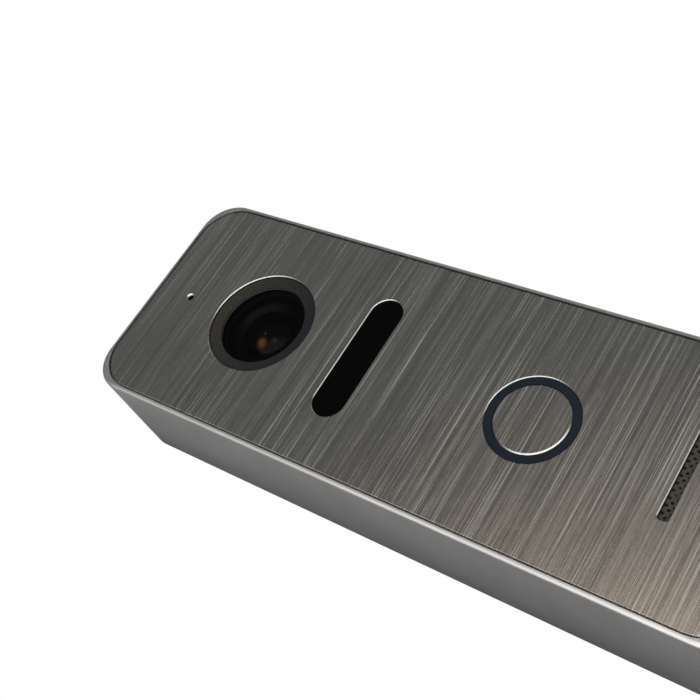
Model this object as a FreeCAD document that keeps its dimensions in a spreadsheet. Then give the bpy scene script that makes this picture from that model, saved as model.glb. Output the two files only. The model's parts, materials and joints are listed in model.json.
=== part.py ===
"""Video door station: the outdoor call panel of a video intercom.

Everything is drawn with the panel lying on its back: x runs across the panel, y up along it and z out of
the wall, from 0 at the wall to the rim of the front face. STAND_UP then turns each piece so that +Z is up,
the front faces -Y and the origin is the middle of the wall face. Sizes are in millimetres.
"""
import FreeCAD
import Part
import Sketcher
import math
import os
import re

SIZES = [
    # whole panel
    ("panel_width", 46), ("panel_height", 129), ("panel_depth", 22.5), ("panel_corner", 7),
    ("rim_width", 0.8), ("rim_round", 0.7), ("rear_edge", 0.3), ("rear_chamfer", 0.3), ("glue_gap", 0.05),
    # centres of the features, up the panel from its middle
    ("mic_up", 55.2), ("camera_up", 36.5), ("light_up", 13.65), ("button_up", -21.1),
    ("speaker_up", -43.5), ("slot_up", -46.5),
    # front plate and its seat in the housing
    ("plate_gap", 0.3), ("plate_drop", 0.1), ("plate_thick", 1), ("plate_corner", 7.8),
    ("plate_chamfer", 0.12), ("glue_layer", 0.15), ("glue_inset", 0.2), ("glue_margin", 0.7),
    ("front_wall", 1.5),
    ("mic_hole", 0.55), ("mic_sink", 0.85), ("mic_sink_deep", 0.35), ("camera_hole", 10.73),
    ("light_long", 25.5), ("light_wide", 6.5), ("button_hole", 7.95),
    ("slot_long", 16), ("slot_wide", 1.8), ("slot_corner", 0.5),
    # housing shell
    ("side_wall", 2.8), ("cavity_corner", 4.5), ("recess_wall", 1.8), ("recess_corner", 5.2),
    ("recess_deep", 6.1), ("rebate_wall", 0.8), ("rebate_corner", 6.2), ("rebate_deep", 1.05),
    ("cover_boss", 2.6), ("cover_boss_across", 17.2), ("cover_boss_up", 58.5),
    ("middle_boss", 2.4), ("middle_boss_across", 17.9), ("middle_boss_up", 6),
    ("board_boss", 2), ("board_boss_across", 12.8), ("board_boss_high", 20.5), ("board_boss_low", -33),
    ("camera_boss", 2.2), ("camera_boss_across", 15.2), ("clamp_boss", 2), ("clamp_boss_across", 11.8),
    # rear cover
    ("cover_rear", 3.7), ("cover_front", 5.5), ("cover_gap", 0.1), ("cover_screw_hole", 1.1),
    ("cover_screw_head", 2), ("cover_screw_shank", 0.9), ("cover_screw_long", 6.9), ("head_gap", 0.15),
    ("head_thick", 0.8), ("pilot_gap", 0.05), ("gasket_wide", 0.7), ("gasket_gap", 0.02),
    # wall bracket, its hooks, the lock tab and the lock screw
    ("bracket_width", 40.6), ("bracket_height", 121.4), ("bracket_thick", 1.2), ("bracket_corner", 4),
    ("bracket_window_width", 18), ("bracket_window_height", 44), ("bracket_window_corner", 3),
    ("wall_screw_hole", 2.1), ("wall_screw_spacing", 60), ("bead_across", 14), ("bead_wide", 3),
    ("bead_height", 96), ("bead_deep", 0.5),
    ("hook_across", 12), ("hook_wide", 7), ("hook_reach", 3.2), ("hook_top", 63.5), ("hook_root", 59.5),
    ("hook_pocket_wide", 8), ("hook_pocket_top", 63.8), ("hook_pocket_rear", 1.6), ("hook_pocket_front", 3.4),
    ("tab_wide", 9), ("tab_reach", 12.5), ("tab_low", -61.2), ("tab_high", -60), ("lock_out", 9.5),
    ("lock_shank", 1.5), ("lock_tab_hole", 1.55), ("lock_wall_hole", 1.7), ("lock_head", 2.7),
    ("lock_counterbore", 3), ("lock_counterbore_deep", 1.9), ("lock_head_sunk", 0.2),
    ("lock_head_thick", 1.6), ("lock_tip", -57.6), ("lock_socket", 1.15), ("lock_socket_deep", 1),
    ("lock_pocket_wide", 14), ("lock_pocket_top", -57.1), ("lock_pocket_deep", 13.5),
    ("lock_pocket_wall", 1.2), ("seal_wide", 0.8),
    # camera
    ("bezel_outer", 10.6), ("bezel_inner", 8.46), ("bezel_outer_front", 22), ("bezel_inner_front", 21.75),
    ("bezel_shoulder", 21.3), ("bezel_seat", 9.6), ("bezel_flange", 12.6), ("bezel_rear", 18.6),
    ("window_radius", 9.4), ("window_front", 21), ("window_rear", 19.9), ("window_bevel", 0.25),
    ("window_seal_inner", 8.55), ("retainer_inner", 8.1), ("retainer_rear", 19),
    ("lens_front", 19.6), ("lens_head", 6.9), ("lens_head_rear", 16.6), ("lens_thread", 5.94),
    ("lens_rear", 11.6), ("lens_lip", 6.2), ("lens_bore", 4.9), ("lens_lip_floor", 18.9),
    ("lens_bore_floor", 17.4), ("lens_throat", 3.2), ("lens_throat_top", 15),
    ("front_glass_top", 19.1), ("front_glass_ball", 7.5), ("rear_glass_low", 12.2), ("rear_glass_top", 14.2),
    ("rear_glass_ball", 4.5), ("glass_gap", 0.05),
    ("camera_board_size", 24), ("camera_board_rear", 7.9), ("camera_board_front", 8.9),
    ("holder_size", 14), ("holder_top", 12.9), ("holder_tube", 7.2), ("holder_tube_top", 15.4),
    ("holder_bore", 6), ("holder_bore_floor", 11.2), ("holder_cavity", 10), ("holder_ear_long", 22),
    ("holder_ear_wide", 6), ("holder_ear_top", 11.4), ("holder_screw_across", 9),
    ("sensor_width", 7.5), ("sensor_height", 6.5), ("sensor_thick", 0.9),
    ("filter_size", 9.6), ("filter_rear", 10.7), ("filter_thick", 0.4),
    ("camera_frame_width", 34.8), ("camera_frame_height", 24), ("camera_frame_thick", 1.5),
    ("camera_frame_hole", 7.5),
    # screws inside the panel: six small ones and four tiny ones
    ("small_screw_hole", 1), ("small_screw_shank", 0.8), ("small_screw_head", 1.7), ("small_screw_long", 5.4),
    ("tiny_screw_hole", 0.7), ("tiny_screw_shank", 0.65), ("tiny_screw_head", 1.4), ("tiny_screw_long", 3.6),
    ("inner_head_thick", 0.95),
    # black light window and the LED board behind it
    ("light_gap", 0.05), ("light_drop", 0.35), ("light_flange_long", 28.4), ("light_flange_wide", 9.4),
    ("light_flange_front", 19.1), ("light_flange_rear", 17.9), ("light_opening_gap", 0.15),
    ("led_board_long", 27), ("led_board_wide", 9), ("led_board_rear", 13), ("led_board_front", 14),
    ("led_long", 3.5), ("led_wide", 2.8), ("led_thick", 1.9), ("led_step", 5), ("light_sensor_long", 3),
    ("light_sensor_wide", 2), ("light_sensor_thick", 1.2), ("led_header_long", 10), ("led_header_wide", 2.5),
    # call button
    ("button_opening", 8.3), ("ring_outer", 7.85), ("ring_inner", 6.5), ("ring_front", 22.25),
    ("ring_rear", 17.5), ("ring_flange", 9.6), ("ring_flange_front", 19.1), ("ring_flange_rear", 18.5),
    ("cap_radius", 6.4), ("cap_front", 22.45), ("cap_rear", 21.25), ("cap_chamfer", 0.2),
    ("stem_disc", 6.42), ("stem_front", 21.2), ("stem_flange", 7.4), ("stem_flange_front", 17.4),
    ("stem_flange_rear", 16.3), ("stem_radius", 2), ("stem_rear", 13.42),
    ("clamp_long", 29), ("clamp_wide", 20), ("clamp_hole", 8), ("clamp_front", 18.4), ("clamp_rear", 17),
    ("clamp_screw_hole_end", 20.9),
    ("switch_size", 6), ("switch_top", 12), ("switch_well", 9.5), ("switch_well_radius", 1.8),
    ("switch_plunger_radius", 1.7), ("switch_plunger_rear", 10.3), ("switch_plunger_front", 13.4),
    ("ring_led_size", 1.6), ("ring_led_thick", 0.8), ("ring_led_out", 7.2),
    # speaker
    ("mesh_long", 19), ("mesh_wide", 4.6), ("mesh_rear", 21.1), ("mesh_front", 21.38), ("mesh_hole", 0.275),
    ("mesh_pitch", 1.3), ("mesh_row", 0.65), ("mesh_pocket_gap", 0.3), ("mesh_pocket_floor", 21),
    ("speaker_opening_long", 17), ("speaker_opening_wide", 3.4),
    ("basket_outer", 11.5), ("basket_front", 19), ("basket_rear", 14), ("basket_floor", 14.8),
    ("basket_lip", 10.9), ("basket_ledge", 18.2), ("basket_inner", 10.3), ("basket_hole", 6),
    ("surround_outer", 10.85), ("surround_inner", 9.8), ("surround_front", 18.7), ("foam_inner", 10),
    ("foam_outer", 11.4), ("cone_outer", 9.7), ("cone_edge", 18.2), ("cone_neck", 16.2), ("cone_thick", 0.35),
    ("dome_top", 17.3), ("coil_inner", 3.5), ("coil_outer", 4), ("coil_rear", 12),
    ("magnet_outer", 6.8), ("magnet_rear", 10.4), ("magnet_floor", 11.4), ("magnet_front", 13.9),
    ("magnet_gap_outer", 4.25), ("magnet_gap_inner", 3.35), ("pole_front", 14.2),
    # microphone
    ("boot_outer", 4.2), ("boot_rear", 14.5), ("boot_floor", 18), ("boot_bore", 3.05), ("mic_opening", 0.9),
    ("capsule_radius", 3), ("capsule_rear", 15.2), ("capsule_front", 17.9),
    # electronics
    ("board_rear", 7.2), ("board_front", 8.6), ("board_width", 31), ("board_height", 59), ("board_up", -6.5),
    ("board_corner", 1), ("grommet_up", -8), ("grommet_long", 8), ("grommet_wide", 4.2),
    ("grommet_slot_long", 5.2), ("grommet_slot_wide", 1.4), ("grommet_lip", 1), ("grommet_lip_thick", 0.65),
    ("wire_radius", 0.5), ("wire_step", 1.2), ("wire_run", 1.9), ("thin_wire", 0.35),
    ("inner_wire_run", 13.2),
    ("plug_long", 10), ("plug_wide", 6.5), ("plug_up", 12), ("plug_rear", 0.2), ("plug_front", 3.4),
    ("trimmer_across", 9), ("trimmer_up", -14), ("trimmer_size", 4.4), ("trimmer_rear", 6),
    ("trimmer_well", 1.66), ("trimmer_well_floor", 6.7), ("rotor_radius", 1.6), ("rotor_rear", 5.8),
    ("rotor_front", 6.65), ("rotor_slot_wide", 0.5), ("rotor_slot_deep", 0.3), ("trimmer_access", 2),
]

STAND_UP = FreeCAD.Placement(FreeCAD.Vector(), FreeCAD.Rotation(FreeCAD.Vector(1, 0, 0), 90))
TINY = 1e-4

# levels that follow from the sizes above
PLATE_FRONT = "panel_depth - plate_drop"
PLATE_REAR = "panel_depth - plate_drop - plate_thick"
SEAT = "panel_depth - plate_drop - plate_thick - glue_layer"
CEILING = "panel_depth - plate_drop - plate_thick - glue_layer - front_wall"
BOTTOM = "-panel_height / 2"

doc = FreeCAD.newDocument("VideoDoorStation")
sheet = doc.addObject("Spreadsheet::Sheet", "Sizes")
pieces = []
cuts = []


# ---- sizes and expressions ----

def fill_sheet():
    """Write each driving size into the sheet, with its name as the cell's alias."""
    for row, (alias, size) in enumerate(SIZES, 1):
        sheet.set(f"A{row}", alias)
        sheet.set(f"B{row}", str(size))
        sheet.setAlias(f"B{row}", alias)
    doc.recompute()


def bound(words):
    """The expression with every size name pointing at its cell in the sheet."""
    return re.sub(r"[a-z][a-z_]+", lambda name: "Sizes." + name.group(0), words)


def number(words):
    """The value that an expression of sizes has now."""
    return float(sheet.evalExpression(bound(words)))


def drive(thing, **expressions):
    """Bind properties of an object to expressions of sizes."""
    for name, words in expressions.items():
        thing.setExpression(name, bound(words))


def keep(thing, label):
    """Name a finished piece, stand it up and put it on the list of pieces."""
    thing.Label = label
    thing.Placement = STAND_UP
    pieces.append(thing)
    return thing


# ---- outlines drawn in a sketch ----

def limit(sketch, constraint, words):
    """Add a dimension to a sketch and bind it to an expression."""
    index = sketch.addConstraint(constraint)
    sketch.setExpression(f"Constraints[{index}]", bound(words))


def centre_point(sketch, across, up):
    """A construction point held at the given place."""
    point = sketch.addGeometry(Part.Point(FreeCAD.Vector(number(across), number(up), 0)), True)
    limit(sketch, Sketcher.Constraint("DistanceX", -1, 1, point, 1, number(across)), across)
    limit(sketch, Sketcher.Constraint("DistanceY", -1, 1, point, 1, number(up)), up)
    return point


def add_line(sketch, start, end):
    return sketch.addGeometry(Part.LineSegment(FreeCAD.Vector(*start), FreeCAD.Vector(*end)), False)


def add_arc(sketch, centre, radius, start_degrees, end_degrees):
    circle = Part.Circle(FreeCAD.Vector(*centre), FreeCAD.Vector(0, 0, 1), radius)
    arc = Part.ArcOfCircle(circle, math.radians(start_degrees), math.radians(end_degrees))
    return sketch.addGeometry(arc, False)


def disc(radius, across="0", up="0"):
    """A circle."""
    def draw(sketch):
        centre = FreeCAD.Vector(number(across), number(up), 0)
        circle = sketch.addGeometry(Part.Circle(centre, FreeCAD.Vector(0, 0, 1), number(radius)), False)
        limit(sketch, Sketcher.Constraint("Radius", circle, number(radius)), radius)
        limit(sketch, Sketcher.Constraint("DistanceX", -1, 1, circle, 3, centre.x), across)
        limit(sketch, Sketcher.Constraint("DistanceY", -1, 1, circle, 3, centre.y), up)
    return draw


def rounded(width, height, corner, across="0", up="0"):
    """A rectangle with round corners."""
    def draw(sketch):
        radius = number(corner)
        middle_x, middle_y = number(across), number(up)
        right, top = middle_x + number(width) / 2, middle_y + number(height) / 2
        left, bottom = middle_x - number(width) / 2, middle_y - number(height) / 2
        lines = [
            add_line(sketch, (left + radius, bottom, 0), (right - radius, bottom, 0)),
            add_line(sketch, (right, bottom + radius, 0), (right, top - radius, 0)),
            add_line(sketch, (right - radius, top, 0), (left + radius, top, 0)),
            add_line(sketch, (left, top - radius, 0), (left, bottom + radius, 0)),
        ]
        arcs = [
            add_arc(sketch, (right - radius, bottom + radius, 0), radius, 270, 360),
            add_arc(sketch, (right - radius, top - radius, 0), radius, 0, 90),
            add_arc(sketch, (left + radius, top - radius, 0), radius, 90, 180),
            add_arc(sketch, (left + radius, bottom + radius, 0), radius, 180, 270),
        ]
        for index in range(4):
            sketch.addConstraint(Sketcher.Constraint("Tangent", lines[index], 2, arcs[index], 1))
            sketch.addConstraint(Sketcher.Constraint("Tangent", arcs[index], 2, lines[(index + 1) % 4], 1))
            sketch.addConstraint(Sketcher.Constraint(("Horizontal", "Vertical")[index % 2], lines[index]))
        for arc in arcs[1:]:
            sketch.addConstraint(Sketcher.Constraint("Equal", arcs[0], arc))
        point = centre_point(sketch, across, up)
        sketch.addConstraint(Sketcher.Constraint("Symmetric", arcs[0], 3, arcs[2], 3, point, 1))
        limit(sketch, Sketcher.Constraint("DistanceX", lines[3], 1, lines[1], 1, number(width)), width)
        limit(sketch, Sketcher.Constraint("DistanceY", lines[0], 1, lines[2], 1, number(height)), height)
        limit(sketch, Sketcher.Constraint("Radius", arcs[0], radius), corner)
    return draw


def square(width, height, across="0", up="0"):
    """A rectangle with sharp corners."""
    def draw(sketch):
        middle_x, middle_y = number(across), number(up)
        right, top = middle_x + number(width) / 2, middle_y + number(height) / 2
        left, bottom = middle_x - number(width) / 2, middle_y - number(height) / 2
        corners = [(left, bottom, 0), (right, bottom, 0), (right, top, 0), (left, top, 0)]
        lines = [add_line(sketch, corners[index], corners[(index + 1) % 4]) for index in range(4)]
        for index in range(4):
            following = lines[(index + 1) % 4]
            sketch.addConstraint(Sketcher.Constraint("Coincident", lines[index], 2, following, 1))
            sketch.addConstraint(Sketcher.Constraint(("Horizontal", "Vertical")[index % 2], lines[index]))
        point = centre_point(sketch, across, up)
        sketch.addConstraint(Sketcher.Constraint("Symmetric", lines[0], 1, lines[2], 1, point, 1))
        limit(sketch, Sketcher.Constraint("DistanceX", lines[0], 1, lines[0], 2, number(width)), width)
        limit(sketch, Sketcher.Constraint("DistanceY", lines[1], 1, lines[1], 2, number(height)), height)
    return draw


def stadium(length, width, across="0", up="0"):
    """A slot with round ends, lying across the panel."""
    def draw(sketch):
        radius = number(width) / 2
        reach = number(length) / 2 - radius
        x, y = number(across), number(up)
        low = add_line(sketch, (x - reach, y - radius, 0), (x + reach, y - radius, 0))
        high = add_line(sketch, (x + reach, y + radius, 0), (x - reach, y + radius, 0))
        right = add_arc(sketch, (x + reach, y, 0), radius, 270, 450)
        left = add_arc(sketch, (x - reach, y, 0), radius, 90, 270)
        for line, arc, next_line in ((low, right, high), (high, left, low)):
            sketch.addConstraint(Sketcher.Constraint("Tangent", line, 2, arc, 1))
            sketch.addConstraint(Sketcher.Constraint("Tangent", arc, 2, next_line, 1))
        sketch.addConstraint(Sketcher.Constraint("Horizontal", low))
        sketch.addConstraint(Sketcher.Constraint("Equal", left, right))
        point = centre_point(sketch, across, up)
        sketch.addConstraint(Sketcher.Constraint("Symmetric", left, 3, right, 3, point, 1))
        limit(sketch, Sketcher.Constraint("Radius", right, radius), f"({width}) / 2")
        reach_words = f"({length}) - ({width})"
        limit(sketch, Sketcher.Constraint("DistanceX", left, 3, right, 3, 2 * reach), reach_words)
    return draw


def polygon(points):
    """A closed outline through (radius, level) corners, for turning."""
    def draw(sketch):
        places = [(number(radius), number(level), 0) for radius, level in points]
        count = len(places)
        lines = [add_line(sketch, places[index], places[(index + 1) % count]) for index in range(count)]
        for index, (radius, level) in enumerate(points):
            before = lines[index - 1]
            sketch.addConstraint(Sketcher.Constraint("Coincident", before, 2, lines[index], 1))
            x, y = places[index][:2]
            limit(sketch, Sketcher.Constraint("DistanceX", -1, 1, lines[index], 1, x), radius)
            limit(sketch, Sketcher.Constraint("DistanceY", -1, 1, lines[index], 1, y), level)
    return draw


# ---- a piece made of sketches and features ----

class Piece:
    """One body, built up from pads, pockets and turned shapes."""

    def __init__(self, label):
        self.body = doc.addObject("PartDesign::Body", label)
        keep(self.body, label)

    def feature(self, kind):
        """A new feature of the body, with a name that says which body it belongs to."""
        return self.body.newObject("PartDesign::" + kind, f"{self.body.Name}_{kind.lower()}")

    def sketch(self, plane, offset, shapes):
        """A sketch parallel to one of the body's own origin planes."""
        sketch = self.body.newObject("Sketcher::SketchObject", f"{self.body.Name}_sketch")
        support = next(item for item in self.body.Origin.OriginFeatures if item.Role == plane)
        sketch.AttachmentSupport = [(support, "")]
        sketch.MapMode = "FlatFace"
        sketch.setExpression("AttachmentOffset.Base.z", bound(offset))
        for draw in shapes:
            draw(sketch)
        sketch.Visibility = False
        return sketch

    def pad(self, start, end, *shapes):
        """Add material between two levels."""
        pad = self.feature("Pad")
        pad.Profile = self.sketch("XY_Plane", start, shapes)
        drive(pad, Length=f"({end}) - ({start})")
        return self

    def pocket(self, start, end, *shapes):
        """Cut material away between two levels."""
        pocket = self.feature("Pocket")
        pocket.Profile = self.sketch("XY_Plane", end, shapes)
        drive(pocket, Length=f"({end}) - ({start})")
        cuts.append(pocket)
        return self

    def bore_up(self, start, end, *shapes):
        """Cut upwards along the panel, from one height to another."""
        pocket = self.feature("Pocket")
        pocket.Profile = self.sketch("XZ_Plane", f"-({start})", shapes)
        drive(pocket, Length=f"({end}) - ({start})")
        cuts.append(pocket)
        return self

    def turn(self, points, up="0", kind="Revolution"):
        """Turn an outline about the axis that stands out of the panel at the given height."""
        turned = self.feature(kind)
        sketch = self.sketch("XZ_Plane", f"-({up})", [polygon(points)])
        turned.Profile = sketch
        turned.ReferenceAxis = (sketch, ["V_Axis"])
        turned.Angle = 360
        if kind == "Groove":
            cuts.append(turned)
        return self

    def dress(self, kind, level, size, prop):
        """Round or chamfer every edge that lies in one level."""
        doc.recompute()
        base = self.body.Tip
        height = number(level)
        names = [
            f"Edge{index}"
            for index, edge in enumerate(base.Shape.Edges, 1)
            if abs(edge.BoundBox.ZMin - height) < TINY and abs(edge.BoundBox.ZMax - height) < TINY
        ]
        dressing = self.feature(kind)
        dressing.Base = (base, names)
        drive(dressing, **{prop: size})
        return self

    def fillet(self, level, radius):
        return self.dress("Fillet", level, radius, "Radius")

    def chamfer(self, level, size):
        return self.dress("Chamfer", level, size, "Size")


# ---- simple solids for groups of small pieces ----

def block(name, width, height, across, up, start, end):
    """A box centred on (across, up), between two levels."""
    box = doc.addObject("Part::Box", name)
    drive(box, Length=width, Width=height, Height=f"({end}) - ({start})")
    box.setExpression("Placement.Base.x", bound(f"({across}) - ({width}) / 2"))
    box.setExpression("Placement.Base.y", bound(f"({up}) - ({height}) / 2"))
    box.setExpression("Placement.Base.z", bound(start))
    return box


def post(name, radius, across, up, start, end):
    """A cylinder that stands between two levels."""
    cylinder = doc.addObject("Part::Cylinder", name)
    drive(cylinder, Radius=radius, Height=f"({end}) - ({start})")
    cylinder.setExpression("Placement.Base.x", bound(across))
    cylinder.setExpression("Placement.Base.y", bound(up))
    cylinder.setExpression("Placement.Base.z", bound(start))
    return cylinder


def fused(name, first, second):
    fuse = doc.addObject("Part::Fuse", name)
    fuse.Base, fuse.Tool = first, second
    return fuse


def without(name, base, tool):
    cut = doc.addObject("Part::Cut", name)
    cut.Base, cut.Tool = base, tool
    return cut


def group(label, members):
    """Separate solids that share one node."""
    compound = doc.addObject("Part::Compound", label)
    compound.Links = members
    return keep(compound, label)


def screw(name, across, up, head_radius, head_end, head_thick, shank_radius, length):
    """A screw driven from behind: a round head with a hexagon socket, and a plain shank."""
    head_start = f"{head_end} - {head_thick}"
    head = post(name + "_head", head_radius, across, up, head_start, head_end)
    shank = post(name + "_shank", shank_radius, across, up, head_start, f"{head_end} + {length}")
    socket = doc.addObject("Part::Prism", name + "_socket")
    socket.Polygon = 6
    drive(socket, Circumradius=f"{head_radius} / 2", Height=f"{head_thick} / 2")
    socket.setExpression("Placement.Base.x", bound(across))
    socket.setExpression("Placement.Base.y", bound(up))
    socket.setExpression("Placement.Base.z", bound(head_start))
    return without(name, fused(name + "_blank", head, shank), socket)


def mirrored_places(across, *heights):
    """Places left and right of the middle, at each height."""
    return [(sign + across, up) for up in heights for sign in ("-", "")]


def bent_wires(label, paths, radius):
    """Round wires that follow bent paths, each a list of corner points."""
    wires = []
    for corners in paths:
        solids = []
        points = [FreeCAD.Vector(*[number(words) for words in corner]) for corner in corners]
        for start, end in zip(points, points[1:]):
            solids.append(Part.makeCylinder(radius, (end - start).Length, start, end - start))
        for bend in points[1:-1]:
            solids.append(Part.makeSphere(radius, bend))
        wires.append(solids[0].multiFuse(solids[1:]))
    feature = doc.addObject("Part::Feature", label)
    feature.Shape = Part.makeCompound(wires)
    keep(feature, label)


# ---- casing ----

COVER_PLACES = mirrored_places("cover_boss_across", "-cover_boss_up", "cover_boss_up")
MIDDLE_PLACES = mirrored_places("middle_boss_across", "middle_boss_up")
BOARD_PLACES = mirrored_places("board_boss_across", "board_boss_low", "board_boss_high")
CAMERA_PLACES = mirrored_places("camera_boss_across", "camera_up")
CLAMP_PLACES = mirrored_places("clamp_boss_across", "button_up")
EAR_PLACES = mirrored_places("holder_screw_across", "camera_up")
PLATE_WIDTH = "panel_width - 2 * rim_width - 2 * plate_gap"
PLATE_HEIGHT = "panel_height - 2 * rim_width - 2 * plate_gap"
FRAME_REAR = "holder_top + glue_gap"
FRAME_FRONT = "holder_top + glue_gap + camera_frame_thick"
POCKET_WALL = "lock_pocket_top + lock_pocket_wall"
POCKET_FLOOR = "-panel_height / 2 + side_wall"


def discs(radius, places):
    return [disc(radius, across, up) for across, up in places]


def make_housing():
    """Cast shell: rim and front wall, side walls, bosses, the lock screw's pocket and the hook pockets."""
    housing = Piece("housing")
    housing.pad("rear_edge", "panel_depth", rounded("panel_width", "panel_height", "panel_corner"))
    housing.fillet("panel_depth", "rim_round")
    housing.chamfer("rear_edge", "rear_chamfer")
    housing.pocket(SEAT, "panel_depth", rounded(
        "panel_width - 2 * rim_width", "panel_height - 2 * rim_width", "plate_corner + plate_gap"))
    for wall, corner, level in (
            ("side_wall", "cavity_corner", CEILING),
            ("recess_wall", "recess_corner", "recess_deep"),
            ("rebate_wall", "rebate_corner", "rebate_deep")):
        outline = rounded(f"panel_width - 2 * {wall}", f"panel_height - 2 * {wall}", corner)
        housing.pocket("rear_edge", level, outline)
    add_bosses(housing)
    cut_front_openings(housing)
    cut_lock_and_hooks(housing)


def add_bosses(housing):
    """Posts that grow back from the front wall, each with a blind screw hole."""
    overlap = f"{CEILING} + front_wall / 2"
    housing.pad("cover_front", overlap,
                *discs("cover_boss", COVER_PLACES), *discs("middle_boss", MIDDLE_PLACES))
    housing.pad("board_front", overlap, *discs("board_boss", BOARD_PLACES))
    housing.pad(f"{FRAME_FRONT} + glue_gap", overlap, *discs("camera_boss", CAMERA_PLACES))
    housing.pad("clamp_front + glue_gap", overlap, *discs("clamp_boss", CLAMP_PLACES))
    width = "lock_pocket_wide + 2 * lock_pocket_wall"
    height = f"{POCKET_WALL} - ({POCKET_FLOOR})"
    housing.pad("recess_deep", "lock_pocket_deep + lock_pocket_wall",
                square(width, height, "0", f"({POCKET_WALL} + {POCKET_FLOOR}) / 2"))
    housing.pocket("cover_front", "cover_front + cover_screw_long",
                   *discs("cover_screw_shank + pilot_gap", COVER_PLACES + MIDDLE_PLACES))
    small_hole = "small_screw_shank + pilot_gap"
    housing.pocket("board_front", "board_front + 5", *discs(small_hole, BOARD_PLACES))
    housing.pocket(f"{FRAME_FRONT} + glue_gap", f"{FRAME_FRONT} + 4", *discs(small_hole, CAMERA_PLACES))
    housing.pocket("clamp_front + glue_gap", "clamp_screw_hole_end",
                   *discs("tiny_screw_shank + pilot_gap", CLAMP_PLACES))


def cut_front_openings(housing):
    """Openings of the front wall for the microphone, camera, light window, button and speaker."""
    housing.pocket(CEILING, SEAT,
                   disc("mic_opening", "0", "mic_up"),
                   disc("bezel_outer + 0.2", "0", "camera_up"),
                   stadium("light_long + 2 * light_opening_gap", "light_wide + 2 * light_opening_gap",
                           "0", "light_up"),
                   disc("button_opening", "0", "button_up"),
                   stadium("speaker_opening_long", "speaker_opening_wide", "0", "slot_up"))
    housing.pocket("mesh_pocket_floor", SEAT, rounded(
        "mesh_long + 2 * mesh_pocket_gap", "mesh_wide + 2 * mesh_pocket_gap", "slot_corner", "0", "slot_up"))


def cut_lock_and_hooks(housing):
    """The pocket for the bracket's lock tab, the lock screw's hole and the pockets for the two hooks."""
    housing.pocket("rear_edge", "lock_pocket_deep",
                   square("lock_pocket_wide", f"lock_pocket_top - ({POCKET_FLOOR})",
                          "0", f"(lock_pocket_top + {POCKET_FLOOR}) / 2"))
    housing.bore_up(BOTTOM, POCKET_FLOOR, disc("lock_wall_hole", "0", "lock_out"))
    housing.bore_up(BOTTOM, f"{BOTTOM} + lock_counterbore_deep", disc("lock_counterbore", "0", "lock_out"))
    recess_top = "panel_height / 2 - recess_wall"
    height = f"hook_pocket_top - ({recess_top}) + 0.1"
    middle = f"hook_pocket_top - ({height}) / 2"
    housing.pocket("hook_pocket_rear", "hook_pocket_front",
                   square("hook_pocket_wide", height, "-hook_across", middle),
                   square("hook_pocket_wide", height, "hook_across", middle))


def make_front_plate():
    """Brushed metal plate with its openings and a fine chamfer on every front edge."""
    plate = Piece("front_plate")
    plate.pad(PLATE_REAR, PLATE_FRONT, rounded(PLATE_WIDTH, PLATE_HEIGHT, "plate_corner"))
    plate.pocket(PLATE_REAR, PLATE_FRONT,
                 disc("camera_hole", "0", "camera_up"),
                 stadium("light_long", "light_wide", "0", "light_up"),
                 disc("button_hole", "0", "button_up"),
                 rounded("slot_long", "slot_wide", "slot_corner", "0", "slot_up"))
    plate.chamfer(PLATE_FRONT, "plate_chamfer")
    plate.pocket(PLATE_REAR, PLATE_FRONT, disc("mic_hole", "0", "mic_up"))
    plate.turn([("0", f"{PLATE_FRONT} - mic_sink_deep"), ("mic_hole", f"{PLATE_FRONT} - mic_sink_deep"),
                ("mic_sink", PLATE_FRONT), ("0", PLATE_FRONT)], "mic_up", "Groove")


def make_plate_adhesive():
    """Double-sided sheet that holds the plate, cut back around every opening."""
    glue = Piece("plate_adhesive")
    rear, front = f"{SEAT} + gasket_gap", f"{PLATE_REAR} - gasket_gap"
    glue.pad(rear, front, rounded(
        f"{PLATE_WIDTH} - 2 * glue_inset", f"{PLATE_HEIGHT} - 2 * glue_inset", "plate_corner - glue_inset"))
    glue.pocket(rear, front,
                disc("mic_opening + glue_margin", "0", "mic_up"),
                disc("camera_hole + glue_margin", "0", "camera_up"),
                stadium("light_long + 2 * glue_margin", "light_wide + 2 * glue_margin", "0", "light_up"),
                disc("button_hole + glue_margin", "0", "button_up"),
                rounded("mesh_long + 2 * glue_margin", "mesh_wide + 2 * glue_margin", "slot_corner",
                        "0", "slot_up"))


def make_rear_cover():
    """Moulded cover inside the housing's rear recess, with sunk screws, cable slot and trimmer access."""
    cover = Piece("rear_cover")
    trim = "2 * recess_wall - 2 * cover_gap"
    cover.pad("cover_rear", "cover_front", rounded(
        f"panel_width - {trim}", f"panel_height - {trim}", "recess_corner - cover_gap"))
    cover.chamfer("cover_rear", "rear_chamfer")
    places = COVER_PLACES + MIDDLE_PLACES
    cover.pocket("cover_rear", "cover_front", *discs("cover_screw_hole", places),
                 disc("trimmer_access", "trimmer_across", "trimmer_up"),
                 stadium("grommet_long + 2 * glue_gap", "grommet_wide + 2 * glue_gap", "0", "grommet_up"))
    cover.pocket("cover_rear", "cover_rear + head_thick + 0.1", *discs("cover_screw_head + head_gap", places))
    notch_top = f"{POCKET_WALL} + 0.3"
    cover.pocket("cover_rear", "cover_front",
                 square("lock_pocket_wide + 2 * lock_pocket_wall + 0.6", f"{notch_top} + panel_height / 2",
                        "0", f"({notch_top} - panel_height / 2) / 2"))


def ring_outline(wall, corner):
    """The outline a given distance in from the panel's sides."""
    return rounded(f"panel_width - 2 * ({wall})", f"panel_height - 2 * ({wall})", corner)


def make_rear_gasket():
    """Cord between the housing's step and the rear cover."""
    gasket = Piece("rear_cover_gasket")
    rear, front = "cover_front + gasket_gap", "recess_deep - gasket_gap"
    outer = "recess_wall + 0.15"
    gasket.pad(rear, front, ring_outline(outer, "recess_corner - 0.15"))
    gasket.pocket(rear, front, ring_outline(f"{outer} + gasket_wide", "recess_corner - 0.15 - gasket_wide"))


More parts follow.
